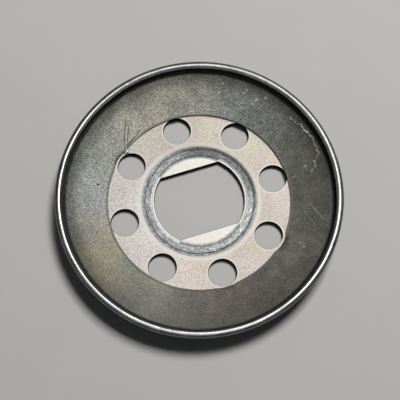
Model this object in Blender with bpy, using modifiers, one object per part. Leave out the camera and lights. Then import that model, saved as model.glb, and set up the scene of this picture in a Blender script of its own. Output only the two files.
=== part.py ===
"""Pressed-steel flywheel disc with a wired rim, a pierced centre plate and a bore with two flats.

Units are metres, +Z up. The origin is the middle of the centre plate's underside, +Z points to the open
side of the dish, and +X runs along the two flats of the bore.

The sheet dish is lapped onto a flat centre plate, its rim is curled inwards over a closed steel wire, and
a thin washer sits in a shallow seat round the bore.
"""

import math

import bmesh
import bpy

# Rim
OUTER_R = 0.0500
SHEET_T = 0.0007
CURL_R = 0.00125  # outside radius of the curled edge
CURL_CENTRE_Z = 0.0096
CURL_SWEEP_DEG = 270.0
WIRE_R = 0.00035

# Dish between its inner edge and the rim
DISH_INNER_R = 0.03225
LAP_END_R = 0.0327  # the sheet is flat as far as this radius
LAP_BEND_R = 0.0020
CONE_DEG = 16.5
RIM_BEND_R = 0.0026

# Centre plate
PLATE_R = 0.0340
PLATE_T = 0.0020
HOLE_COUNT = 8
HOLE_R = 0.00495
HOLE_CIRCLE_R = 0.0274

# Bore with two flats
BORE_R = 0.0160
ACROSS_FLATS = 0.0238

# Washer round the bore, and its seat in the plate
WASHER_INNER_R = 0.0169
WASHER_OUTER_R = 0.0193
WASHER_T = 0.0005
WASHER_BEVEL = 0.00008
SEAT_DEPTH = 0.0007
SEAT_BEVEL = 0.0006
SEAT_BEVEL_DEPTH = 0.0003

JOINT_GAP = 0.0003  # left between pieces that touch on the real part
CUT_MARGIN = 0.0010  # how far a cutter runs past the face it cuts

# Facets
TURN_STEPS = 72
HOLE_STEPS = 24
WIRE_STEPS = 8
LAP_BEND_STEPS = 2
RIM_BEND_STEPS = 5
CURL_STEPS = 12
SMOOTH_DEG = 35.0

# Base colour, metallic, roughness
FINISHES = {
    "dish_steel": ((0.216, 0.216, 0.181, 1.0), 0.9, 0.48),
    "plate_steel": ((0.515, 0.474, 0.418, 1.0), 0.6, 0.62),
    "washer_steel": ((0.305, 0.328, 0.328, 1.0), 0.95, 0.38),
    "wire_steel": ((0.340, 0.340, 0.330, 1.0), 1.0, 0.40),
}


def clear_scene():
    for obj in list(bpy.data.objects):
        bpy.data.objects.remove(obj, do_unlink=True)


def new_collection(name):
    collection = bpy.data.collections.new(name)
    bpy.context.scene.collection.children.link(collection)
    return collection


def make_finish(name):
    colour, metallic, roughness = FINISHES[name]
    material = bpy.data.materials.new(name)
    material.use_nodes = True
    shader = material.node_tree.nodes["Principled BSDF"]
    shader.inputs["Base Color"].default_value = colour
    shader.inputs["Metallic"].default_value = metallic
    shader.inputs["Roughness"].default_value = roughness
    return material


def add_object(name, mesh, collection):
    obj = bpy.data.objects.new(name, mesh)
    collection.objects.link(obj)
    return obj


def finish_part(obj, material_name):
    """Gives a part its material, and shades its round faces smooth."""
    obj.data.materials.append(make_finish(material_name))
    obj.data.shade_smooth()
    obj.data.set_sharp_from_angle(angle=math.radians(SMOOTH_DEG))


def hide_cutter(obj):
    obj.hide_render = True
    obj.display_type = "WIRE"


def arc(centre, radius, first_deg, last_deg, steps):
    """Points of an arc in the (radius, height) plane; 0 degrees points away from the axis, 90 up."""
    points = []
    for step in range(steps + 1):
        angle = math.radians(first_deg + (last_deg - first_deg) * step / steps)
        points.append((centre[0] + radius * math.cos(angle), centre[1] + radius * math.sin(angle)))
    return points


def profile_mesh(name, points, closed):
    """A line through (radius, height) points in the XZ plane, for a Screw modifier to turn."""
    mesh = bpy.data.meshes.new(name)
    last = len(points) if closed else len(points) - 1
    edges = [(index, (index + 1) % len(points)) for index in range(last)]
    mesh.from_pydata([(radius, 0.0, height) for radius, height in points], edges, [])
    return mesh


def turn(obj):
    """Turns the object's profile once round +Z."""
    screw = obj.modifiers.new("turn", "SCREW")
    screw.axis = "Z"
    screw.angle = math.tau
    screw.steps = TURN_STEPS
    screw.render_steps = TURN_STEPS
    screw.use_merge_vertices = True
    screw.merge_threshold = 0.00001


def cylinder_mesh(name, radius, bottom, top, steps):
    mesh = bpy.data.meshes.new(name)
    shape = bmesh.new()
    bmesh.ops.create_cone(
        shape, cap_ends=True, segments=steps, radius1=radius, radius2=radius, depth=top - bottom
    )
    bmesh.ops.translate(shape, verts=shape.verts, vec=(0.0, 0.0, (top + bottom) / 2))
    shape.to_mesh(mesh)
    shape.free()
    return mesh


def cut(obj, cutter, name, operation="DIFFERENCE"):
    boolean = obj.modifiers.new(name, "BOOLEAN")
    boolean.operation = operation
    boolean.solver = "EXACT"
    boolean.object = cutter


def dish_profile():
    """The middle of the sheet, from the dish's inner edge out to the end of the curl."""
    lap_z = PLATE_T + JOINT_GAP + SHEET_T / 2
    lap_bend = arc((LAP_END_R, lap_z + LAP_BEND_R), LAP_BEND_R, -90.0, CONE_DEG - 90.0, LAP_BEND_STEPS)

    cone = math.radians(CONE_DEG)
    cone_start_r, cone_start_z = lap_bend[-1]
    rim_bend_centre_r = OUTER_R - SHEET_T / 2 - RIM_BEND_R
    cone_z_there = cone_start_z + (rim_bend_centre_r - cone_start_r) * math.tan(cone)
    rim_bend_centre_z = cone_z_there + RIM_BEND_R / math.cos(cone)
    rim_bend = arc(
        (rim_bend_centre_r, rim_bend_centre_z), RIM_BEND_R, CONE_DEG - 90.0, 0.0, RIM_BEND_STEPS
    )

    curl_centre = (OUTER_R - CURL_R, CURL_CENTRE_Z)
    curl = arc(curl_centre, CURL_R - SHEET_T / 2, 0.0, CURL_SWEEP_DEG, CURL_STEPS)
    return [(DISH_INNER_R, lap_z)] + lap_bend + rim_bend + curl


def make_dish(parts):
    dish = add_object("pressed_dish", profile_mesh("pressed_dish", dish_profile(), closed=False), parts)
    turn(dish)
    sheet = dish.modifiers.new("sheet", "SOLIDIFY")
    sheet.thickness = SHEET_T
    sheet.offset = 0.0
    sheet.use_even_offset = True
    finish_part(dish, "dish_steel")


def make_rim_wire(parts):
    bpy.ops.mesh.primitive_torus_add(
        major_radius=OUTER_R - CURL_R,
        minor_radius=WIRE_R,
        major_segments=TURN_STEPS,
        minor_segments=WIRE_STEPS,
        location=(0.0, 0.0, CURL_CENTRE_Z),
    )
    wire = bpy.context.active_object
    wire.name = "rim_wire"
    for collection in list(wire.users_collection):
        collection.objects.unlink(wire)
    parts.objects.link(wire)
    finish_part(wire, "wire_steel")


def make_bore_cutter(cutters):
    """A round bar with two flats parallel to +X."""
    low, high = -CUT_MARGIN, PLATE_T + CUT_MARGIN
    bore = add_object("bore_cutter", cylinder_mesh("bore_cutter", BORE_R, low, high, TURN_STEPS), cutters)

    block_mesh = bpy.data.meshes.new("flats_block")
    block = bmesh.new()
    bmesh.ops.create_cube(block, size=1.0)
    bmesh.ops.scale(block, verts=block.verts, vec=(3 * BORE_R, ACROSS_FLATS, 4 * (high - low)))
    block.to_mesh(block_mesh)
    block.free()
    flats = add_object("flats_block", block_mesh, cutters)

    cut(bore, flats, "flats", operation="INTERSECT")
    hide_cutter(bore)
    hide_cutter(flats)
    return bore


def make_hole_cutters(cutters):
    """Round bars on one circle, the first in line with the bore's flats."""
    mesh = cylinder_mesh("hole_cutter", HOLE_R, -CUT_MARGIN, PLATE_T + CUT_MARGIN, HOLE_STEPS)
    holes = []
    for index in range(HOLE_COUNT):
        angle = math.tau * index / HOLE_COUNT
        hole = add_object(f"hole_cutter_{index + 1}", mesh, cutters)
        hole.location = (HOLE_CIRCLE_R * math.cos(angle), HOLE_CIRCLE_R * math.sin(angle), 0.0)
        hide_cutter(hole)
        holes.append(hole)
    return holes


def make_seat_cutter(cutters):
    """A ring that cuts the washer's seat, bevelled where it meets the plate's upper face."""
    floor_z = PLATE_T - SEAT_DEPTH
    top_z = PLATE_T + CUT_MARGIN
    inner_r = WASHER_INNER_R - JOINT_GAP
    outer_r = WASHER_OUTER_R + JOINT_GAP
    slope = SEAT_BEVEL / SEAT_BEVEL_DEPTH
    bevel_foot_z = PLATE_T - SEAT_BEVEL_DEPTH
    outline = [
        (outer_r + slope * (top_z - bevel_foot_z), top_z),
        (outer_r, bevel_foot_z),
        (outer_r, floor_z),
        (inner_r, floor_z),
        (inner_r, top_z),
    ]
    seat = add_object("seat_cutter", profile_mesh("seat_cutter", outline, closed=True), cutters)
    turn(seat)
    hide_cutter(seat)
    return seat


def make_centre_plate(parts, cutters):
    plate = add_object(
        "centre_plate", cylinder_mesh("centre_plate", PLATE_R, 0.0, PLATE_T, TURN_STEPS), parts
    )
    cut(plate, make_bore_cutter(cutters), "bore")
    cut(plate, make_seat_cutter(cutters), "seat")
    for index, hole in enumerate(make_hole_cutters(cutters)):
        cut(plate, hole, f"hole_{index + 1}")
    finish_part(plate, "plate_steel")


def make_washer(parts):
    bottom_z = PLATE_T - SEAT_DEPTH + JOINT_GAP
    top_z = bottom_z + WASHER_T
    outline = [
        (WASHER_OUTER_R - WASHER_BEVEL, top_z),
        (WASHER_OUTER_R, top_z - WASHER_BEVEL),
        (WASHER_OUTER_R, bottom_z),
        (WASHER_INNER_R, bottom_z),
        (WASHER_INNER_R, top_z - WASHER_BEVEL),
        (WASHER_INNER_R + WASHER_BEVEL, top_z),
    ]
    washer = add_object("bore_washer", profile_mesh("bore_washer", outline, closed=True), parts)
    turn(washer)
    finish_part(washer, "washer_steel")


def main():
    clear_scene()
    parts = new_collection("flywheel")
    cutters = new_collection("cutters")
    make_dish(parts)
    make_rim_wire(parts)
    make_centre_plate(parts, cutters)
    make_washer(parts)


main()
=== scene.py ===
"""Looks of a pressed-steel flywheel disc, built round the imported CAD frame.

Metres, +Z up. The origin is the middle of the centre plate's underside and +X runs along the bore's two
flats. Azimuths are degrees from +X, anticlockwise seen from above. An azimuth "as the camera sees it" is
measured from the picture's right instead, and VIEW_TURN_DEG turns it to the part's own.
"""

import math

import bmesh
import bpy
from mathutils import Matrix, Vector, noise


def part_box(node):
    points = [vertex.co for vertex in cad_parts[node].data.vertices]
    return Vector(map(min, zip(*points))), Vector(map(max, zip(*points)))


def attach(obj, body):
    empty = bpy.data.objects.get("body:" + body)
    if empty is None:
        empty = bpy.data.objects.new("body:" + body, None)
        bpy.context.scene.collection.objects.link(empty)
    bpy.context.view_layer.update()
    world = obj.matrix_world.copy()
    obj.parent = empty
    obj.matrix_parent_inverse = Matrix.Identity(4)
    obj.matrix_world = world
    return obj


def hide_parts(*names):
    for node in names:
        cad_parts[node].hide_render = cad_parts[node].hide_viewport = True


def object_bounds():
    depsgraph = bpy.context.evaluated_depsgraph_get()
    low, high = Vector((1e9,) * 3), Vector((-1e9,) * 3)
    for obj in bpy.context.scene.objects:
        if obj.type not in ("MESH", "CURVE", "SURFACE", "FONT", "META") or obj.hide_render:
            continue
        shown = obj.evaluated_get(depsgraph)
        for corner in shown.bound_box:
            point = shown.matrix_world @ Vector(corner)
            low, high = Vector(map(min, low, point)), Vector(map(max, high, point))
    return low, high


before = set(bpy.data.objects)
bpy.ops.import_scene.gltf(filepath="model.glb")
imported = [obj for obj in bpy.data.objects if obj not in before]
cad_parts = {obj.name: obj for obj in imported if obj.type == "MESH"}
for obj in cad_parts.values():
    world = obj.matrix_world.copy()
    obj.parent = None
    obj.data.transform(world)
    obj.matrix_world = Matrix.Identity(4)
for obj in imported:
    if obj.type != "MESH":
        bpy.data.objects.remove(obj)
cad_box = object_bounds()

# ---------------------------------------------------------------- places that the frame gives
DISH_LOW, DISH_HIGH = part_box("pressed_dish")
PLATE_LOW, PLATE_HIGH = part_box("centre_plate")
WASHER_LOW, WASHER_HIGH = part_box("bore_washer")
WIRE_LOW, WIRE_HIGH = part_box("rim_wire")

OUTER_R = DISH_HIGH.x
PLATE_R = PLATE_HIGH.x
PLATE_T = PLATE_HIGH.z - PLATE_LOW.z
WASHER_OUTER_R = WASHER_HIGH.x

# ---------------------------------------------------------------- sizes, in metres
# Pressed dish
SHEET_T = 0.0007
CURL_R = 0.00125
CURL_SWEEP_DEG = 270.0
CURL_CROWN_IN = 0.00020  # how far inside the curl's middle its highest point lies
DISH_INNER_R = 0.03225
LAP_END_R = 0.0327
LAP_BEND_R = 0.0020
CONE_DEG = 16.5
RIM_BEND_R = 0.0026
CUT_EDGE_R = 0.00012
WAVE_HEIGHT = 0.00004
WAVES_PER_M = 55.0

# Centre plate
HOLE_COUNT = 8
HOLE_R = 0.00495
HOLE_CIRCLE_R = 0.0274
BORE_R = 0.0160
ACROSS_FLATS = 0.0238
PLATE_EDGE_R = 0.00020

# Washer and its seat
WASHER_INNER_R = 0.0169
WASHER_INNER_EDGE_R = 0.00006
WASHER_OUTER_EDGE_R = 0.00020
WASHER_FALL = 0.00005
SEAT_DEPTH = 0.0007
SEAT_BEVEL = 0.0006
SEAT_BEVEL_DEPTH = 0.00015
SEAT_GAP = 0.00005
CUT_MARGIN = 0.0005  # how far the seat's cutter runs past the face it cuts

# Facets
DISH_STEPS = 480
RING_STEPS = 320
HOLE_STEPS = 64
WIRE_STEPS = 16
LAP_BEND_STEPS = 6
CONE_STEPS = 10
RIM_BEND_STEPS = 10
CURL_STEPS = 30
WASHER_TOP_STEPS = 16
WASHER_EDGE_STEPS = 6
CORNER_STEPS = 4
LIP_STEPS = 28
BEVEL_RESOLUTION = 3
MERGE_DISTANCE = 0.000001

MM = 0.001

# ---------------------------------------------------------------- damage to shapes
# Dents on the bead: azimuth, how far round the bead from its outer side in degrees, reach, depth
BEAD_DENTS = (
    (104.5, 95.0, 0.0011, 0.00007),
    (151.7, 70.0, 0.0012, 0.00009),
    (237.0, 100.0, 0.0011, 0.00008),
    (321.0, 60.0, 0.0013, 0.00009),
)
# Holes round which the dish's inner edge is pushed back: hole, and distance of that edge from its middle
BROKEN_HOLES = (
    (3, 0.00550),
    (6, 0.00530),
    (7, 0.00565),
)
PUSH_DEPTH = 0.0009  # how far beyond that the sheet is disturbed

# Lips turned up on hole edges: hole, first and last azimuth round the hole, radius of the lip's section
EDGE_LIPS = (
    (3, 84.0, 170.0, 0.00026),
    (7, 258.0, 330.0, 0.00016),
    (6, 212.0, 275.0, 0.00012),
    (0, 285.0, 340.0, 0.00009),
)
# As shares of that radius: how far a lip stands back from the hole, how deep it sits, its radius at the ends
LIP_SET_BACK = 0.7
LIP_SINK = 0.25
LIP_END = 0.25
LIP_FULLNESS = 0.6  # below 1, the lip reaches its full size soon after each end

# A burr of metal standing up at the torn edge by the first of those holes
FLAKE_PLACE = (-0.0194, 0.0252)
FLAKE_SIZE = (0.00090, 0.00075, 0.00048)
FLAKE_RISE = 0.6  # height of its middle above the dish's lowest face, as a share of the sheet
FLAKE_LUMPS = 0.45
FLAKE_LUMP_SCALE = 1.7

# ---------------------------------------------------------------- marks on surfaces
# Scratches on the dish: start and end as the camera sees them, and width, all in millimetres
BRIGHT_SCRATCHES = (
    ((-26.3, 18.9), (-26.3, 26.4), 0.22),
    ((-25.4, 19.9), (-20.8, 25.8), 0.20),
    ((38.7, -1.8), (43.2, -8.1), 0.20),
    ((36.5, -4.0), (40.0, -9.5), 0.15),
)
DARK_SCRATCHES = (
    ((-26.8, 19.0), (-26.9, 24.4), 0.28),
    ((-26.9, 24.4), (-26.4, 29.9), 0.24),
    ((-26.1, 19.4), (-25.5, 27.4), 0.24),
    ((-25.9, 20.2), (-21.5, 25.7), 0.28),
)
# One scratch on the plate, in the same terms
PLATE_SCRATCH = ((4.5, 25.4), (6.5, 24.1), 0.14)
# A dried trace of fluid on the dish: azimuth as the camera sees it, and radius in millimetres
FLUID_TRACE = (
    (13.5, 40.6), (16.0, 42.0), (18.6, 42.7), (19.4, 44.1), (21.6, 45.2),
    (25.5, 44.9), (29.0, 45.5), (36.0, 45.1), (38.2, 44.1), (42.4, 44.0),
)
# Small pale flecks and dark pits on the dish, in the same terms
FLECKS = (
    (57.5, 44.3), (61.0, 42.2), (61.8, 40.4), (67.0, 43.9), (68.0, 42.6), (79.0, 43.9),
    (80.0, 40.5), (17.5, 39.4), (14.0, 34.6), (335.0, 38.4), (334.0, 40.2),
)
PITS = ((52.6, 36.2), (171.6, 36.2))
FLECK_R = 0.00050
PIT_R = 0.00045
SPOT_CORE = 0.3  # share of a spot's radius that is marked in full
# Tints that lie over the dish: azimuth as the camera sees it, reach in degrees, colour, strength
DISH_TINTS = (
    (12.0, 30.0, (0.180, 0.174, 0.152), 0.7),
    (65.0, 28.0, (0.206, 0.214, 0.206), 0.6),
    (112.0, 34.0, (0.250, 0.240, 0.200), 0.9),
    (178.0, 30.0, (0.172, 0.184, 0.180), 0.8),
    (218.0, 38.0, (0.160, 0.151, 0.112), 0.9),
    (284.0, 42.0, (0.160, 0.148, 0.120), 0.9),
    (330.0, 24.0, (0.215, 0.200, 0.168), 0.6),
)

# Distances from the axis between which a surface changes
# Painted shade darkens the dish between these
DISH_SHADE_R = (0.0340, 0.0440)
# Painted shade cast by the rim onto the dish, between these
RIM_SHADE_R = (0.0405, 0.0462)
# Painted shadow of the bead in the groove under it, between these
GROOVE_SHADOW_R = (0.0463, 0.0472)
GREY_END_R = (0.0198, 0.0208)  # where the grey of the ring fades out on the plate
LEDGE_R = (BORE_R - 0.0005, BORE_R + 0.0003)
RING_EDGE_R = (WASHER_INNER_R, WASHER_INNER_R + 0.0002)
RING_RIM_R = (WASHER_INNER_R + 0.00005, WASHER_INNER_R + 0.00025)
BORE_WALL_R = (BORE_R + 0.5 * PLATE_EDGE_R, BORE_R + 1.5 * PLATE_EDGE_R)
HOLE_WALL_R = (HOLE_R + PLATE_EDGE_R, HOLE_R + 1.5 * PLATE_EDGE_R)  # from the hole's middle
HOLE_RUB_R = (HOLE_R, HOLE_R + 0.0010)  # from the hole's middle

# Heights between which the dish's sheet becomes the polished bead
BEAD_Z = (DISH_HIGH.z - 1.3 * CURL_R, DISH_HIGH.z - 0.85 * CURL_R)

# Thin bands round the axis: middle and half width
# Painted shade in the crease along the lap's edge
LAP_SHADE_BAND = (LAP_END_R, 0.0006)
HALO_BAND = (0.0214, 0.0011)
RING_OUTLINE_BAND = (0.0192, 0.0009)

GROOVE_RAGGED = 0.0006  # how far blotches shift the groove's edge
TRACE_WANDER = 0.0026  # how far noise pushes the trace about
TRACE_WIDTHS = (0.00015, 0.00050)

# Shifts that keep one noise on the plate from repeating another
WARMTH_SHIFT = (0.4, 0.1, 0.0)
TINT_SHIFT = (0.2, 0.7, 0.0)

# Depth of fine relief
DISH_RELIEF = 0.00005
PLATE_RELIEF = 0.00004
WASHER_RELIEF = 0.00004
TORN_RELIEF = 0.00003
PLAIN_RELIEF = 0.00002

# ---------------------------------------------------------------- colours
OLIVE_GREY = (0.196, 0.200, 0.182)
# Painted shadow cast by the bead into the groove beneath it
GROOVE_SHADOW_BLACK = (0.008, 0.008, 0.007)
# Painted shade on the walls of the holes and the bore
WALL_SHADE_BLACK = (0.012, 0.011, 0.010)
BEAD_GREY = (0.25, 0.262, 0.256)
# Painted highlight along the bead
CROWN_HIGHLIGHT = (0.97, 1.0, 0.97)
SCRATCH_DARK = (0.055, 0.055, 0.050)
SCRATCH_BRIGHT = (0.50, 0.51, 0.48)
PLATE_SCRATCH_DARK = (0.16, 0.15, 0.14)
TRACE_PALE = (0.68, 0.66, 0.59)
FLECK_PALE = (0.62, 0.62, 0.58)

PLATE_PINK = (0.590, 0.500, 0.478)
PLATE_YELLOW = (0.565, 0.518, 0.428)
PLATE_COOL = (0.530, 0.520, 0.500)
PLATE_GREEN = (0.530, 0.525, 0.460)
RUBBED_PALE = (0.74, 0.73, 0.68)
RIM_PALE = (0.78, 0.76, 0.71)

RING_DARK = (0.135, 0.148, 0.153)
RING_LIGHT = (0.285, 0.300, 0.303)
RING_STREAK = (0.47, 0.50, 0.50)

WIRE_DARK = (0.27, 0.27, 0.26)
WIRE_LIGHT = (0.40, 0.40, 0.39)
TORN_DARK = (0.62, 0.61, 0.58)
TORN_LIGHT = (0.82, 0.81, 0.78)
FLOOR_DARK = (0.74, 0.735, 0.72)
FLOOR_LIGHT = (0.78, 0.775, 0.76)

# ---------------------------------------------------------------- camera, light and floor
VIEW_TURN_DEG = -17.3
CAMERA_PLACE = (0.0034, -0.0980, 0.3221)
CAMERA_TILT_DEG = 17.05
CAMERA_LEAN_DEG = 0.54
LENS_MM = 85.2
SENSOR_MM = 36.0
CLIP_START = 0.01
CLIP_END = 10.0

PANEL_DISTANCE = 1.0
# Panels: azimuth as the camera sees it, elevation, size, power, colour
SIDE_PANEL = (58.0, 65.0, 0.28, 6.2, (1.0, 0.99, 0.97))
TOP_PANEL = (-90.0, 80.0, 0.50, 1.7, (0.98, 0.99, 1.0))
WORLD_COLOUR = (0.9, 0.95, 1.0, 1.0)
WORLD_STRENGTH = 0.035

FLOOR_SIZE = 3.0
FLOOR_GAP = 0.0001


# ================================================================ helpers for shapes
def on_circle(centre, radius, azimuth_deg):
    angle = math.radians(azimuth_deg)
    return (centre[0] + radius * math.cos(angle), centre[1] + radius * math.sin(angle))


def hole_centre(hole):
    return on_circle((0.0, 0.0), HOLE_CIRCLE_R, 360.0 * hole / HOLE_COUNT)


def arc(centre, radius, first_deg, last_deg, steps):
    """Points of an arc. In a (radius, height) outline, 0 degrees points away from the axis and 90 up."""
    sweep = last_deg - first_deg
    return [on_circle(centre, radius, first_deg + sweep * step / steps) for step in range(steps + 1)]


def circle(centre, radius, steps):
    return arc(centre, radius, 0.0, 360.0, steps)[:-1]


def add_piece(name, mesh, material, nodes=()):
    """Puts a finished mesh in the scene as a piece that rides on the disc."""
    piece = bpy.data.objects.new(name, mesh)
    bpy.context.scene.collection.objects.link(piece)
    mesh.materials.clear()
    mesh.materials.append(material)
    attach(piece, "root")
    if nodes:
        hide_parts(*nodes)
    return piece


def smooth(mesh, sharp_deg):
    mesh.shade_smooth()
    mesh.set_sharp_from_angle(angle=math.radians(sharp_deg))


def mesh_from(shape, name):
    bmesh.ops.recalc_face_normals(shape, faces=shape.faces)
    mesh = bpy.data.meshes.new(name)
    shape.to_mesh(mesh)
    shape.free()
    return mesh


def merged_mesh(mesh, name):
    """A copy of the mesh in which points at the same place are one point."""
    shape = bmesh.new()
    shape.from_mesh(mesh)
    bmesh.ops.remove_doubles(shape, verts=shape.verts, dist=MERGE_DISTANCE)
    return mesh_from(shape, name)


def turned_shape(outline, steps):
    """A closed (radius, height) outline turned once round +Z."""
    shape = bmesh.new()
    points = [shape.verts.new((radius, 0.0, height)) for radius, height in outline]
    edges = [shape.edges.new((points[index - 1], point)) for index, point in enumerate(points)]
    bmesh.ops.spin(
        shape,
        geom=points + edges,
        axis=(0.0, 0.0, 1.0),
        cent=(0.0, 0.0, 0.0),
        angle=math.tau,
        steps=steps,
        use_merge=True,
    )
    return shape


def evaluated_mesh(obj):
    """The object's mesh with its modifiers applied; the object itself is removed."""
    graph = bpy.context.evaluated_depsgraph_get()
    mesh = bpy.data.meshes.new_from_object(obj.evaluated_get(graph))
    bpy.data.objects.remove(obj)
    return mesh


def temporary_object(name, data):
    obj = bpy.data.objects.new(name, data)
    bpy.context.scene.collection.objects.link(obj)
    return obj


def keep_flats_flat(piece):
    """Shades wide flat faces flat although their edges are rounded."""
    weighted = piece.modifiers.new("flat_faces", "WEIGHTED_NORMAL")
    weighted.keep_sharp = True


# ================================================================ pressed dish
def curl_path():
    """The middle of the curled sheet: part of a circle, with its crown moved inwards."""
    centre = Vector((OUTER_R - CURL_R, DISH_HIGH.z - CURL_R))
    radius = CURL_R - SHEET_T / 2
    path = []
    for x, y in arc((0.0, 0.0), 1.0, 0.0, CURL_SWEEP_DEG, CURL_STEPS):
        lean = CURL_CROWN_IN * (1.0 - abs(x))
        path.append((centre.x + radius * x - lean, centre.y + radius * y))
    return path


def dish_path():
    """The middle of the sheet, from the dish's inner edge out to the end of the curl."""
    lap_z = DISH_LOW.z + SHEET_T / 2
    lap_bend_centre = (LAP_END_R, lap_z + LAP_BEND_R)
    lap_bend = arc(lap_bend_centre, LAP_BEND_R, -90.0, CONE_DEG - 90.0, LAP_BEND_STEPS)

    cone = math.radians(CONE_DEG)
    bend_centre_r = OUTER_R - SHEET_T / 2 - RIM_BEND_R
    cone_rise = (bend_centre_r - lap_bend[-1][0]) * math.tan(cone)
    bend_centre = (bend_centre_r, lap_bend[-1][1] + cone_rise + RIM_BEND_R / math.cos(cone))
    rim_bend = arc(bend_centre, RIM_BEND_R, CONE_DEG - 90.0, 0.0, RIM_BEND_STEPS)

    start, end = Vector(lap_bend[-1]), Vector(rim_bend[0])
    cone_points = [tuple(start.lerp(end, step / CONE_STEPS)) for step in range(1, CONE_STEPS)]

    return [(DISH_INNER_R + CUT_EDGE_R, lap_z)] + lap_bend + cone_points + rim_bend + curl_path()


def dish_outline():
    """The whole outline of the sheet, with a slightly rounded inner edge."""
    path = [Vector(point) for point in dish_path()]
    upper, lower = [], []
    for index, point in enumerate(path):
        along = path[min(index + 1, len(path) - 1)] - path[max(index - 1, 0)]
        across = Vector((-along.y, along.x)).normalized() * SHEET_T / 2
        upper.append(tuple(point + across))
        lower.append(tuple(point - across))
    edge_r, top, bottom = path[0].x, upper[0][1], lower[0][1]
    low_corner = arc((edge_r, bottom + CUT_EDGE_R), CUT_EDGE_R, 270.0, 180.0, CORNER_STEPS)
    high_corner = arc((edge_r, top - CUT_EDGE_R), CUT_EDGE_R, 180.0, 90.0, CORNER_STEPS)
    return low_corner + high_corner + upper[1:] + lower[:0:-1]


def press_dent(shape, centre, ring_middle, reach, depth):
    for point in shape.verts:
        share = (point.co - centre).length / reach
        if share < 1.0:
            inwards = (ring_middle - point.co).normalized()
            point.co += inwards * depth * (1.0 - share * share) ** 2


def dent_bead(shape):
    ring_r, ring_z = OUTER_R - CURL_R, DISH_HIGH.z - CURL_R
    for azimuth_deg, round_deg, reach, depth in BEAD_DENTS:
        spot_r, spot_z = on_circle((ring_r, ring_z), CURL_R, round_deg)
        centre = Vector((*on_circle((0.0, 0.0), spot_r, azimuth_deg), spot_z))
        ring_middle = Vector((*on_circle((0.0, 0.0), ring_r, azimuth_deg), ring_z))
        press_dent(shape, centre, ring_middle, reach, depth)


def wave_cone(shape):
    """The shallow unevenness of a pressed sheet, on the cone only."""
    first_r, last_r = LAP_END_R, OUTER_R - 2 * RIM_BEND_R
    for point in shape.verts:
        share = (point.co.xy.length - first_r) / (last_r - first_r)
        if 0.0 < share < 1.0:
            where = Vector((point.co.x, point.co.y, 0.0)) * WAVES_PER_M
            point.co.z += WAVE_HEIGHT * math.sin(math.pi * share) * noise.noise(where)


def push_back_inner_edge(shape, hole, clear_r):
    """Pushes the dish's inner edge back to clear_r from the middle of a hole that breaks into it."""
    middle = Vector(hole_centre(hole))
    nearest = DISH_INNER_R - HOLE_CIRCLE_R
    furthest = clear_r + PUSH_DEPTH
    for point in shape.verts:
        offset = point.co.xy - middle
        if offset.length < furthest:
            share = (offset.length - nearest) / (furthest - nearest)
            point.co.xy = middle + offset.normalized() * (clear_r + share * PUSH_DEPTH)


def make_dish():
    shape = turned_shape(dish_outline(), DISH_STEPS)
    wave_cone(shape)
    dent_bead(shape)
    for hole, clear_r in BROKEN_HOLES:
        push_back_inner_edge(shape, hole, clear_r)
    mesh = mesh_from(shape, "dish_sheet")
    smooth(mesh, sharp_deg=40.0)
    add_piece("dish_sheet", mesh, dish_material(), ["pressed_dish"])


# ================================================================ rim wire
def make_rim_wire():
    wire_r = (WIRE_HIGH.z - WIRE_LOW.z) / 2
    outline = circle((WIRE_HIGH.x - wire_r, WIRE_HIGH.z - wire_r), wire_r, WIRE_STEPS)
    mesh = mesh_from(turned_shape(outline, RING_STEPS), "curl_wire")
    smooth(mesh, sharp_deg=60.0)
    add_piece("curl_wire", mesh, wire_material(), ["rim_wire"])


# ================================================================ centre plate
def add_loop(curve, points):
    loop = curve.splines.new("POLY")
    loop.points.add(len(points) - 1)
    for point, place in zip(loop.points, points):
        point.co = (place[0], place[1], 0.0, 1.0)
    loop.use_cyclic_u = True


def bore_loop():
    """Round on the left and right, flat on the far and near sides."""
    corner_deg = math.degrees(math.asin(ACROSS_FLATS / 2 / BORE_R))
    steps = HOLE_STEPS // 2
    right = arc((0.0, 0.0), BORE_R, -corner_deg, corner_deg, steps)
    left = arc((0.0, 0.0), BORE_R, 180.0 - corner_deg, 180.0 + corner_deg, steps)
    return right + left


def pierced_blank():
    """The flat plate with its holes and rounded edges."""
    curve = bpy.data.curves.new("blank", "CURVE")
    curve.dimensions = "2D"
    curve.fill_mode = "BOTH"
    curve.extrude = PLATE_T / 2 - PLATE_EDGE_R
    curve.bevel_depth = PLATE_EDGE_R
    curve.bevel_resolution = BEVEL_RESOLUTION
    curve.offset = -PLATE_EDGE_R
    add_loop(curve, circle((0.0, 0.0), PLATE_R, RING_STEPS))
    add_loop(curve, bore_loop())
    for hole in range(HOLE_COUNT):
        add_loop(curve, circle(hole_centre(hole), HOLE_R, HOLE_STEPS))
    mesh = evaluated_mesh(temporary_object("blank", curve))
    mesh.transform(Matrix.Translation((0.0, 0.0, (PLATE_LOW.z + PLATE_HIGH.z) / 2)))
    return merged_mesh(mesh, "blank")


def seat_outline():
    """What the washer's seat removes: a groove with a bevelled outer side."""
    top = PLATE_HIGH.z
    outer_r = WASHER_OUTER_R + SEAT_GAP
    inner_r = WASHER_INNER_R - SEAT_GAP
    slope = SEAT_BEVEL / SEAT_BEVEL_DEPTH
    return [
        (outer_r + SEAT_BEVEL + slope * CUT_MARGIN, top + CUT_MARGIN),
        (outer_r + SEAT_BEVEL, top),
        (outer_r, top - SEAT_BEVEL_DEPTH),
        (outer_r, top - SEAT_DEPTH),
        (inner_r, top - SEAT_DEPTH),
        (inner_r, top - PLATE_EDGE_R),
        (inner_r - PLATE_EDGE_R, top),
        (inner_r - 2 * PLATE_EDGE_R, top + CUT_MARGIN),
    ]


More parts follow.
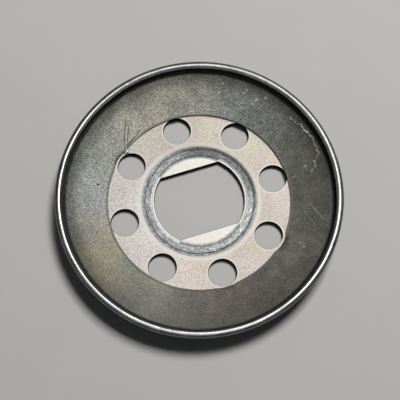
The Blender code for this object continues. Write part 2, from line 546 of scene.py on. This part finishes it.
def make_centre_plate():
    blank = temporary_object("blank", pierced_blank())
    cutter_mesh = mesh_from(turned_shape(seat_outline(), RING_STEPS), "seat_cutter")
    # Turned by half a step, so that none of its edges lies on an edge of the blank
    cutter_mesh.transform(Matrix.Rotation(math.pi / RING_STEPS, 4, "Z"))
    cutter = temporary_object("seat_cutter", cutter_mesh)
    seat = blank.modifiers.new("seat", "BOOLEAN")
    seat.operation = "DIFFERENCE"
    seat.solver = "EXACT"
    seat.object = cutter
    mesh = evaluated_mesh(blank)
    bpy.data.objects.remove(cutter)
    mesh.name = "plate_disc"
    smooth(mesh, sharp_deg=22.0)
    piece = add_piece("plate_disc", mesh, plate_material(), ["centre_plate"])
    keep_flats_flat(piece)


def make_edge_lip(name, hole, first_deg, last_deg, radius, material):
    """A thin lip of bare metal turned up along part of a hole's edge."""
    places = arc(hole_centre(hole), HOLE_R + radius * LIP_SET_BACK, first_deg, last_deg, LIP_STEPS)
    curve = bpy.data.curves.new(name, "CURVE")
    curve.dimensions = "3D"
    curve.bevel_depth = radius
    curve.bevel_resolution = BEVEL_RESOLUTION
    curve.use_fill_caps = True
    spline = curve.splines.new("POLY")
    spline.points.add(len(places) - 1)
    for index, (point, place) in enumerate(zip(spline.points, places)):
        share = index / (len(places) - 1)
        point.co = (place[0], place[1], PLATE_HIGH.z - radius * LIP_SINK, 1.0)
        point.radius = LIP_END + (1.0 - LIP_END) * math.sin(math.pi * share) ** LIP_FULLNESS
    mesh = merged_mesh(evaluated_mesh(temporary_object(name, curve)), name)
    smooth(mesh, sharp_deg=60.0)
    add_piece(name, mesh, material)


def make_flake(material):
    shape = bmesh.new()
    bmesh.ops.create_icosphere(shape, subdivisions=4, radius=1.0)
    for point in shape.verts:
        point.co *= 1.0 + FLAKE_LUMPS * noise.noise(point.co * FLAKE_LUMP_SCALE)
    bmesh.ops.scale(shape, verts=shape.verts, vec=FLAKE_SIZE)
    middle_z = DISH_LOW.z + SHEET_T * FLAKE_RISE
    bmesh.ops.translate(shape, verts=shape.verts, vec=(*FLAKE_PLACE, middle_z))
    mesh = mesh_from(shape, "torn_flake")
    smooth(mesh, sharp_deg=50.0)
    add_piece("torn_flake", mesh, material)


# ================================================================ washer
def make_washer():
    """A thin ring whose upper face falls away slightly outwards."""
    low, high = WASHER_LOW.z, WASHER_HIGH.z
    inner_edge, outer_edge = WASHER_INNER_EDGE_R, WASHER_OUTER_EDGE_R
    inner_middle = (WASHER_INNER_R + inner_edge, high - inner_edge)
    outer_middle = (WASHER_OUTER_R - outer_edge, high - WASHER_FALL - outer_edge)
    inner_top = arc(inner_middle, inner_edge, 180.0, 90.0, CORNER_STEPS)
    outer_top = arc(outer_middle, outer_edge, 90.0, 0.0, WASHER_EDGE_STEPS)
    first, last = Vector(inner_top[-1]), Vector(outer_top[0])
    crown = []
    for step in range(1, WASHER_TOP_STEPS):
        share = step / WASHER_TOP_STEPS
        crown.append((first.x + (last.x - first.x) * share, first.y - WASHER_FALL * share * share))
    outline = [(WASHER_INNER_R, low)] + inner_top + crown + outer_top + [(WASHER_OUTER_R, low)]
    mesh = mesh_from(turned_shape(outline, RING_STEPS), "bore_ring")
    smooth(mesh, sharp_deg=40.0)
    add_piece("bore_ring", mesh, washer_material(), ["bore_washer"])


# ================================================================ helpers for materials
class Shade:
    """One material's nodes. Most methods add nodes and return the last one's output."""

    def __init__(self, name):
        self.material = bpy.data.materials.new(name)
        self.material.use_nodes = True
        self.tree = self.material.node_tree
        self.shader = self.tree.nodes["Principled BSDF"]
        self.place = self.tree.nodes.new("ShaderNodeTexCoord").outputs["Object"]
        self.flat = self.vector("MULTIPLY", self.place, (1.0, 1.0, 0.0))
        self.radius = self.vector("LENGTH", self.flat, out="Value")
        self.outward = self.vector("NORMALIZE", self.flat)
        split = self.tree.nodes.new("ShaderNodeSeparateXYZ")
        self.put(split.inputs[0], self.place)
        self.height = split.outputs["Z"]
        facing = self.tree.nodes.new("ShaderNodeNewGeometry").outputs["True Normal"]
        self.facing_up = self.dot(facing, (0.0, 0.0, 1.0))
        self.facing_out = self.dot(facing, self.outward)

    def put(self, socket, value):
        if isinstance(value, bpy.types.NodeSocket):
            self.tree.links.new(value, socket)
        elif socket.type == "RGBA":
            socket.default_value = (*value, 1.0)
        else:
            socket.default_value = value

    def math(self, operation, first, *others):
        """The operation on the first two values, then on that result and the next value, and so on."""
        for other in others or (0.0,):
            node = self.tree.nodes.new("ShaderNodeMath")
            node.operation = operation
            self.put(node.inputs[0], first)
            self.put(node.inputs[1], other)
            first = node.outputs[0]
        return first

    def times(self, *factors):
        return self.math("MULTIPLY", *factors)

    def without(self, share):
        """What is left of 1 when the share is taken off."""
        return self.math("SUBTRACT", 1.0, share)

    def vector(self, operation, first, second=(0.0, 0.0, 0.0), out="Vector"):
        node = self.tree.nodes.new("ShaderNodeVectorMath")
        node.operation = operation
        self.put(node.inputs[0], first)
        if operation == "SCALE":
            self.put(node.inputs["Scale"], second)
        else:
            self.put(node.inputs[1], second)
        return node.outputs[out]

    def dot(self, first, second):
        return self.vector("DOT_PRODUCT", first, second, out="Value")

    def scaled(self, colour, factor):
        return self.vector("SCALE", colour, factor)

    def span(self, value, low, high, first=0.0, last=1.0):
        """Goes smoothly from first to last as value goes from low to high."""
        node = self.tree.nodes.new("ShaderNodeMapRange")
        node.interpolation_type = "SMOOTHSTEP"
        self.put(node.inputs["Value"], value)
        self.put(node.inputs["From Min"], low)
        self.put(node.inputs["From Max"], high)
        self.put(node.inputs["To Min"], first)
        self.put(node.inputs["To Max"], last)
        return node.outputs[0]

    def band(self, value, middle, half_width):
        """1 where value is middle, falling to 0 at half_width to either side."""
        away = self.math("ABSOLUTE", self.math("SUBTRACT", value, middle))
        return self.span(away, 0.0, half_width, 1.0, 0.0)

    def noise(self, where, scale, detail=3.0, roughness=0.55):
        node = self.tree.nodes.new("ShaderNodeTexNoise")
        self.put(node.inputs["Vector"], where)
        self.put(node.inputs["Scale"], scale)
        self.put(node.inputs["Detail"], detail)
        self.put(node.inputs["Roughness"], roughness)
        return node.outputs["Fac"]

    def towards(self, azimuth_deg):
        """1 on the side of the disc at this azimuth, -1 on the opposite side."""
        return self.dot(self.outward, (*on_circle((0.0, 0.0), 1.0, azimuth_deg), 0.0))

    def seen_towards(self, azimuth_deg):
        """The same, for an azimuth as the camera sees it."""
        return self.towards(azimuth_deg + VIEW_TURN_DEG)

    def turning_grain(self, across, along):
        """Noise drawn out round the axis, like the marks of a lathe or a turning nut."""
        split = self.tree.nodes.new("ShaderNodeSeparateXYZ")
        self.put(split.inputs[0], self.vector("SCALE", self.outward, along))
        join = self.tree.nodes.new("ShaderNodeCombineXYZ")
        self.put(join.inputs["X"], split.outputs["X"])
        self.put(join.inputs["Y"], split.outputs["Y"])
        self.put(join.inputs["Z"], self.times(self.radius, across))
        return self.noise(join.outputs[0], 1.0, roughness=0.6)

    def wandering(self, scale, reach):
        """The place seen from above, pushed about by noise."""
        node = self.tree.nodes.new("ShaderNodeTexNoise")
        self.put(node.inputs["Vector"], self.place)
        self.put(node.inputs["Scale"], scale)
        push = self.vector("SUBTRACT", node.outputs["Color"], (0.5, 0.5, 0.5))
        push = self.vector("MULTIPLY", push, (reach, reach, 0.0))
        return self.vector("ADD", self.flat, push)

    def line(self, start, end, width, where=None):
        """1 along the line between two points seen from above, 0 beyond width from it."""
        start, end = Vector((*start, 0.0)), Vector((*end, 0.0))
        along = end - start
        offset = self.vector("SUBTRACT", where or self.flat, start)
        reach = self.dot(offset, along / along.length_squared)
        reach = self.math("MINIMUM", self.math("MAXIMUM", reach, 0.0), 1.0)
        nearest = self.vector("SCALE", tuple(along), reach)
        gap = self.vector("LENGTH", self.vector("SUBTRACT", offset, nearest), out="Value")
        return self.span(gap, 0.0, width, 1.0, 0.0)

    def distance_from(self, centre):
        """The distance from a point seen from above."""
        return self.vector("DISTANCE", self.flat, (*centre, 0.0), out="Value")

    def spot(self, centre, radius):
        return self.span(self.distance_from(centre), radius * SPOT_CORE, radius, 1.0, 0.0)

    def mix(self, share, first, second):
        node = self.tree.nodes.new("ShaderNodeMix")
        node.data_type = "RGBA"
        self.put(node.inputs["Factor"], share)
        self.put(node.inputs["A"], first)
        self.put(node.inputs["B"], second)
        return node.outputs["Result"]

    def finish(self, colour, metallic, roughness, height, relief, specular=0.5):
        bump = self.tree.nodes.new("ShaderNodeBump")
        self.put(bump.inputs["Distance"], relief)
        self.put(bump.inputs["Height"], height)
        self.put(self.shader.inputs["Base Color"], colour)
        self.put(self.shader.inputs["Metallic"], metallic)
        self.put(self.shader.inputs["Roughness"], roughness)
        self.put(self.shader.inputs["Specular IOR Level"], specular)
        self.put(self.shader.inputs["Normal"], bump.outputs[0])
        return self.material


def turned_to_part(x, y):
    """A point seen in the camera's own directions, in millimetres, as a place on the part in metres."""
    place = Matrix.Rotation(math.radians(VIEW_TURN_DEG), 2) @ Vector((x, y)) * MM
    return tuple(place)


def seen_at(azimuth_deg, radius_mm):
    return turned_to_part(*on_circle((0.0, 0.0), radius_mm, azimuth_deg))


def seen_line(s, start, end, width_mm):
    """A line between two points seen in the camera's own directions, all in millimetres."""
    return s.line(turned_to_part(*start), turned_to_part(*end), width_mm * MM)


def upper_side(s):
    """1 on faces that look up, 0 on upright faces and below."""
    return s.span(s.facing_up, -0.1, 0.2)


# ================================================================ the dish's material
def scratch_mask(s, scratches):
    worn_through = s.span(s.noise(s.place, 900.0, detail=2.0), 0.30, 0.55, 0.35, 1.0)
    lines = [seen_line(s, *scratch) for scratch in scratches]
    return s.times(s.math("MAXIMUM", *lines), worn_through)


def trace_mask(s):
    where = s.wandering(420.0, TRACE_WANDER)
    width = s.span(s.noise(s.place, 700.0, detail=2.0), 0.35, 0.65, *TRACE_WIDTHS)
    places = [seen_at(*place) for place in FLUID_TRACE]
    lines = [s.line(start, end, width, where) for start, end in zip(places, places[1:])]
    return s.math("MAXIMUM", *lines)


def spots_mask(s, places, radius):
    return s.math("MAXIMUM", *[s.spot(seen_at(*place), radius) for place in places])


def dish_tints(s, patches):
    """Olive grey, with soft stains on several sides."""
    colour = OLIVE_GREY
    for azimuth_deg, reach_deg, tint, strength in DISH_TINTS:
        near = s.span(s.seen_towards(azimuth_deg), math.cos(math.radians(reach_deg)), 1.0)
        share = s.times(near, s.span(patches, 0.35, 0.55, 0.3, 1.0), strength)
        colour = s.mix(share, colour, tint)
    return colour


def dish_tone(s, patches, blotches, grain, spin, inside):
    """How light the dish is, with painted light and shade in it. Painted shade darkens it at the rim, at the
    lap, at pushed edges and on the outside, and painted light makes one side lighter.
    """
    grain_share = s.span(s.seen_towards(110.0), -0.7, 0.8, 0.60, 1.10)
    grain_tone = s.times(grain_share, s.span(grain, 0.37, 0.63, -0.45, 0.50))
    # Painted shade cast by the rim onto the dish near it, deepest on the far side
    rim_shade = s.span(s.seen_towards(300.0), -0.2, 0.9, 0.58, 0.10)
    rim_shade = s.times(rim_shade, s.times(inside, s.span(s.radius, *RIM_SHADE_R)))
    tone = s.times(
        s.span(patches, 0.35, 0.65, 0.84, 1.16),
        s.span(blotches, 0.35, 0.65, 0.84, 1.16),
        s.math("ADD", 1.0, grain_tone),
        # Painted shade: darker towards the rim
        s.span(s.radius, *DISH_SHADE_R, 1.04, 0.84),
        s.span(spin, 0.3, 0.7, 0.94, 1.06),
        # Painted light: the dish lighter towards 152 degrees as the camera sees it, darker opposite
        s.span(s.seen_towards(152.0), -1.0, 1.0, 0.80, 1.26),
        s.without(rim_shade),
        # Painted shade: darker on the outer faces
        s.span(inside, 0.0, 1.0, 0.6, 1.0),
        # Painted shade along the lap's edge
        s.without(s.times(s.band(s.radius, *LAP_SHADE_BAND), 0.45)),
    )
    # Painted shadow round the dish's edges pushed back by holes
    for hole, clear_r in BROKEN_HOLES:
        gap = s.distance_from(hole_centre(hole))
        tone = s.times(tone, s.span(gap, clear_r, clear_r + PUSH_DEPTH, 0.12, 1.0))
    return tone


def with_bead_highlight(s, bead, colour, spin, blotches):
    """Adds the bead and a painted highlight along its worn crown, which lies further inwards on its far
    side.
    """
    polish = s.times(s.span(spin, 0.35, 0.65, 0.82, 1.18), s.span(blotches, 0.35, 0.65, 0.85, 1.15))
    colour = s.mix(bead, colour, s.scaled(BEAD_GREY, polish))
    far = s.seen_towards(75.0)
    # Painted highlight: a band along the bead's crown, moved inwards on the far side and dimmer on the near
    # side
    crown = s.band(s.facing_out, s.span(far, -0.8, 0.7, 0.05, -0.70), 0.75)
    highlight_tone = s.times(polish, s.span(far, -0.9, 0.6, 0.52, 0.92))
    return s.mix(s.times(bead, crown), colour, s.scaled(CROWN_HIGHLIGHT, highlight_tone))


def dish_material():
    """Dull olive-grey sheet with painted shade near the rim and in the groove, and a worn bead with a
    painted highlight along it.
    """
    s = Shade("dish_steel_worn_painted_light")
    patches = s.noise(s.place, 110.0, 5.0, 0.6)
    blotches = s.noise(s.place, 420.0, 4.0, 0.7)
    grain = s.noise(s.place, 2000.0, 3.0, 0.75)
    spin = s.turning_grain(1500.0, 5.0)
    inside = s.span(s.facing_out, -0.05, 0.15, 1.0, 0.0)
    upper = upper_side(s)
    colour = s.scaled(dish_tints(s, patches), dish_tone(s, patches, blotches, grain, spin, inside))

    trace = s.times(trace_mask(s), upper)
    flecks = s.times(spots_mask(s, FLECKS, FLECK_R), s.span(blotches, 0.40, 0.55, 0.3, 0.9), upper)
    pits = s.times(spots_mask(s, PITS, PIT_R), upper)
    dark_scratches = s.times(scratch_mask(s, DARK_SCRATCHES), s.times(upper, 0.9))
    bright_scratches = s.times(scratch_mask(s, BRIGHT_SCRATCHES), s.times(upper, 0.6))
    colour = s.mix(dark_scratches, colour, SCRATCH_DARK)
    colour = s.mix(bright_scratches, colour, SCRATCH_BRIGHT)
    colour = s.mix(s.times(trace, s.span(blotches, 0.38, 0.60, 0.15, 0.85)), colour, TRACE_PALE)
    colour = s.mix(flecks, colour, FLECK_PALE)
    colour = s.scaled(colour, s.without(s.times(pits, 0.85)))

    groove_place = s.math("ADD", s.radius, s.times(blotches, GROOVE_RAGGED))
    # Painted shadow of the bead in the groove under it, with a ragged edge
    groove = s.times(inside, s.span(groove_place, *GROOVE_SHADOW_R))
    colour = s.mix(groove, colour, GROOVE_SHADOW_BLACK)
    bead = s.span(s.height, *BEAD_Z)
    colour = with_bead_highlight(s, bead, colour, spin, blotches)

    dull = s.without(bead)
    sheet_roughness = s.times(s.span(blotches, 0.3, 0.7, 0.50, 0.62), dull)
    bead_roughness = s.times(s.span(spin, 0.3, 0.7, 0.38, 0.46), bead)
    roughness = s.math("ADD", sheet_roughness, bead_roughness)
    height = s.math("ADD", s.times(grain, 0.7), s.times(blotches, 0.3))
    height = s.math("SUBTRACT", height, s.math("ADD", s.times(pits, 3.0), dark_scratches))
    height = s.times(s.math("ADD", height, trace), dull)
    metallic = s.math("MAXIMUM", bead, 0.75)
    return s.finish(colour, metallic, roughness, height, DISH_RELIEF)


# ================================================================ the plate's and the washer's material
def over_flats(s):
    """1 over the bore's two flats, 0 over its round sides."""
    corner = ACROSS_FLATS / 2 / BORE_R
    return s.span(s.math("ABSOLUTE", s.towards(90.0)), corner - 0.01, corner + 0.03)


def scuffed_grey(s):
    """The blue-grey of the ring: scuffed in circles, with painted shade on the far right."""
    scuffs = s.turning_grain(1700.0, 5.0)
    streaks = s.turning_grain(2600.0, 9.0)
    speckle = s.noise(s.place, 1700.0, 3.0, 0.75)
    colour = s.mix(s.span(scuffs, 0.36, 0.64), RING_DARK, RING_LIGHT)
    colour = s.mix(s.span(streaks, 0.52, 0.66, 0.0, 0.85), colour, RING_STREAK)
    tone = s.span(speckle, 0.38, 0.62, 0.66, 1.34)
    # Painted shade: the ring darker on its far right side
    far = s.span(s.seen_towards(58.0), 0.35, 0.85, 1.12, 0.42)
    outline = s.without(s.times(s.band(s.radius, *RING_OUTLINE_BAND), 0.10))
    return s.scaled(colour, s.times(tone, far, outline))


def plate_face(s, speckle, tint):
    """Finely speckled, with pinkish and yellowish patches, and cooler on the left."""
    patches = s.noise(s.place, 95.0, 3.0, 0.5)
    warmth = s.noise(s.vector("ADD", s.place, WARMTH_SHIFT), 120.0)
    yellow = s.math("ADD", warmth, s.times(s.seen_towards(70.0), 0.06))
    colour = s.mix(s.span(yellow, 0.44, 0.64), PLATE_PINK, PLATE_YELLOW)
    colour = s.mix(s.span(s.seen_towards(190.0), 0.2, 1.0, 0.0, 0.8), colour, PLATE_COOL)
    colour = s.mix(s.span(tint, 0.40, 0.60, 0.0, 0.55), colour, PLATE_GREEN)
    across = s.math("ABSOLUTE", s.seen_towards(135.0))
    tone = s.times(
        s.span(patches, 0.3, 0.7, 0.95, 1.05),
        s.span(speckle, 0.37, 0.63, 0.64, 1.38),
        s.span(s.seen_towards(225.0), -1.0, 1.0, 1.0, 1.18),
        s.span(across, 0.6, 1.0, 1.0, 0.90),
    )
    return s.scaled(colour, tone)


def ring_grey_on_plate(s, upper, within_ring):
    """1 where the ring's grey runs on over the plate: the ledges at the flats, and outside the ring."""
    ledge = s.times(over_flats(s), s.span(s.radius, *LEDGE_R, 0.0, 0.8), within_ring)
    shoulder = s.times(s.span(s.radius, *RING_EDGE_R), s.span(s.radius, *GREY_END_R, 1.0, 0.0))
    return s.times(upper, s.math("MAXIMUM", ledge, shoulder))


def opening_wall_shade(s, hole_gap):
    """1 on the walls of the holes and the bore, where shade is painted; 0 on the plate's faces and its outer
    edge.
    """
    steep = s.span(s.math("ABSOLUTE", s.facing_up), 0.80, 0.99, 1.0, 0.0)
    in_bore = s.span(s.radius, *BORE_WALL_R, 1.0, 0.0)
    in_hole = s.span(hole_gap, *HOLE_WALL_R, 1.0, 0.0)
    return s.times(steep, s.math("MAXIMUM", in_bore, in_hole))


def plate_material():
    """Matte face, bright where parts have rubbed, grey round the ring, and black with painted shade on the
    walls inside the openings.
    """
    s = Shade("plate_steel_matte")
    speckle = s.noise(s.place, 1900.0, 3.0, 0.8)
    tint = s.noise(s.vector("ADD", s.place, TINT_SHIFT), 800.0, 3.0, 0.65)
    upper = upper_side(s)
    within_ring = s.span(s.radius, *RING_EDGE_R, 1.0, 0.0)
    hole_gaps = [s.distance_from(hole_centre(hole)) for hole in range(HOLE_COUNT)]
    hole_gap = s.math("MINIMUM", *hole_gaps)
    colour = plate_face(s, speckle, tint)

    hole_rub = s.span(hole_gap, *HOLE_RUB_R, 0.75, 0.0)
    halo_share = s.span(s.seen_towards(68.0), 0.2, 0.9, 0.65, 0.25)
    halo = s.times(s.band(s.radius, *HALO_BAND), s.times(halo_share, upper))
    colour = s.mix(s.math("MAXIMUM", hole_rub, halo), colour, RUBBED_PALE)
    rim_tone = s.span(speckle, 0.3, 0.7, 0.95, 1.05)
    colour = s.mix(s.times(upper, within_ring), colour, s.scaled(RIM_PALE, rim_tone))
    colour = s.mix(ring_grey_on_plate(s, upper, within_ring), colour, scuffed_grey(s))

    walls = opening_wall_shade(s, hole_gap)
    # Painted shade: the walls of the holes and the bore black
    colour = s.mix(walls, colour, WALL_SHADE_BLACK)
    colour = s.mix(s.times(seen_line(s, *PLATE_SCRATCH), 0.7), colour, PLATE_SCRATCH_DARK)

    roughness = s.span(speckle, 0.3, 0.7, 0.52, 0.68)
    height = s.math("ADD", s.times(speckle, 0.7), s.times(tint, 0.3))
    # The walls under painted shade lose their shine too, so that they stay black
    shine = s.without(walls)
    metallic = s.times(shine, 0.55)
    return s.finish(colour, metallic, roughness, height, PLATE_RELIEF, specular=s.times(shine, 0.5))


def washer_material():
    """The scuffed ring, with a bright inner edge where the bore is round."""
    s = Shade("washer_steel_scuffed")
    scuffs = s.turning_grain(1700.0, 5.0)
    edge = s.times(s.without(over_flats(s)), s.span(s.radius, *RING_RIM_R, 1.0, 0.0))
    colour = s.mix(edge, scuffed_grey(s), RIM_PALE)
    roughness = s.span(scuffs, 0.3, 0.7, 0.42, 0.58)
    return s.finish(colour, 0.75, roughness, scuffs, WASHER_RELIEF)


# ================================================================ plain materials
def wire_material():
    """Plain drawn wire."""
    s = Shade("wire_steel_drawn")
    drawn = s.turning_grain(6000.0, 3.0)
    colour = s.mix(s.span(drawn, 0.3, 0.7), WIRE_DARK, WIRE_LIGHT)
    roughness = s.span(drawn, 0.3, 0.7, 0.32, 0.48)
    return s.finish(colour, 1.0, roughness, drawn, PLAIN_RELIEF)


def bare_metal_material():
    """Fresh metal where an edge has been torn or turned up."""
    s = Shade("bare_steel")
    flecks = s.noise(s.place, 3000.0, 2.0, 0.6)
    colour = s.mix(s.span(flecks, 0.3, 0.7), TORN_DARK, TORN_LIGHT)
    roughness = s.span(flecks, 0.3, 0.7, 0.28, 0.40)
    return s.finish(colour, 0.85, roughness, flecks, TORN_RELIEF)


def floor_material():
    """Plain and pale, with a faint mottle."""
    s = Shade("pale_floor")
    mottle = s.noise(s.place, 40.0)
    colour = s.mix(mottle, FLOOR_DARK, FLOOR_LIGHT)
    return s.finish(colour, 0.0, 0.85, mottle, PLAIN_RELIEF)


# ================================================================ stage
def make_floor():
    place = (0.0, 0.0, cad_box[0].z - FLOOR_GAP)
    bpy.ops.mesh.primitive_plane_add(size=FLOOR_SIZE, location=place)
    floor = bpy.context.active_object
    floor.name = "floor"
    floor.data.materials.append(floor_material())
    return floor


def make_panel(name, azimuth_deg, elevation_deg, size, power, colour):
    """A soft square light aimed at the disc, from an azimuth as the camera sees it."""
    elevation = math.radians(elevation_deg)
    level = on_circle((0.0, 0.0), math.cos(elevation), azimuth_deg + VIEW_TURN_DEG)
    away = Vector((*level, math.sin(elevation)))
    data = bpy.data.lights.new(name, "AREA")
    data.shape = "SQUARE"
    data.size = size
    data.energy = power
    data.color = colour
    panel = bpy.data.objects.new(name, data)
    panel.location = away * PANEL_DISTANCE
    panel.rotation_euler = away.to_track_quat("Z", "Y").to_euler()
    bpy.context.scene.collection.objects.link(panel)
    return panel


def leave_unlit(panel, obj):
    """Keeps a light off one object, so that the shadows on it stay deep."""
    receivers = bpy.data.collections.new(panel.name + "_receivers")
    receivers.objects.link(obj)
    receivers.collection_objects[0].light_linking.link_state = "EXCLUDE"
    panel.light_linking.receiver_collection = receivers


def make_lights(floor):
    make_panel("side_panel", *SIDE_PANEL)
    leave_unlit(make_panel("top_panel", *TOP_PANEL), floor)
    world = bpy.data.worlds.new("studio")
    world.use_nodes = True
    background = world.node_tree.nodes["Background"]
    background.inputs["Color"].default_value = WORLD_COLOUR
    background.inputs["Strength"].default_value = WORLD_STRENGTH
    bpy.context.scene.world = world


def make_camera():
    data = bpy.data.cameras.new("camera")
    data.lens = LENS_MM
    data.sensor_width = SENSOR_MM
    data.clip_start = CLIP_START
    data.clip_end = CLIP_END
    camera = bpy.data.objects.new("camera", data)
    camera.matrix_world = (
        Matrix.Rotation(math.radians(VIEW_TURN_DEG), 4, "Z")
        @ Matrix.Translation(CAMERA_PLACE)
        @ Matrix.Rotation(math.radians(CAMERA_TILT_DEG), 4, "X")
        @ Matrix.Rotation(math.radians(CAMERA_LEAN_DEG), 4, "Y")
    )
    bpy.context.scene.collection.objects.link(camera)
    bpy.context.scene.camera = camera


def main():
    make_dish()
    make_rim_wire()
    make_centre_plate()
    make_washer()
    bare_metal = bare_metal_material()
    for index, lip in enumerate(EDGE_LIPS):
        make_edge_lip(f"edge_lip_{index + 1}", *lip, bare_metal)
    make_flake(bare_metal)
    make_lights(make_floor())
    make_camera()
    bpy.context.scene.view_settings.view_transform = "Standard"


main()
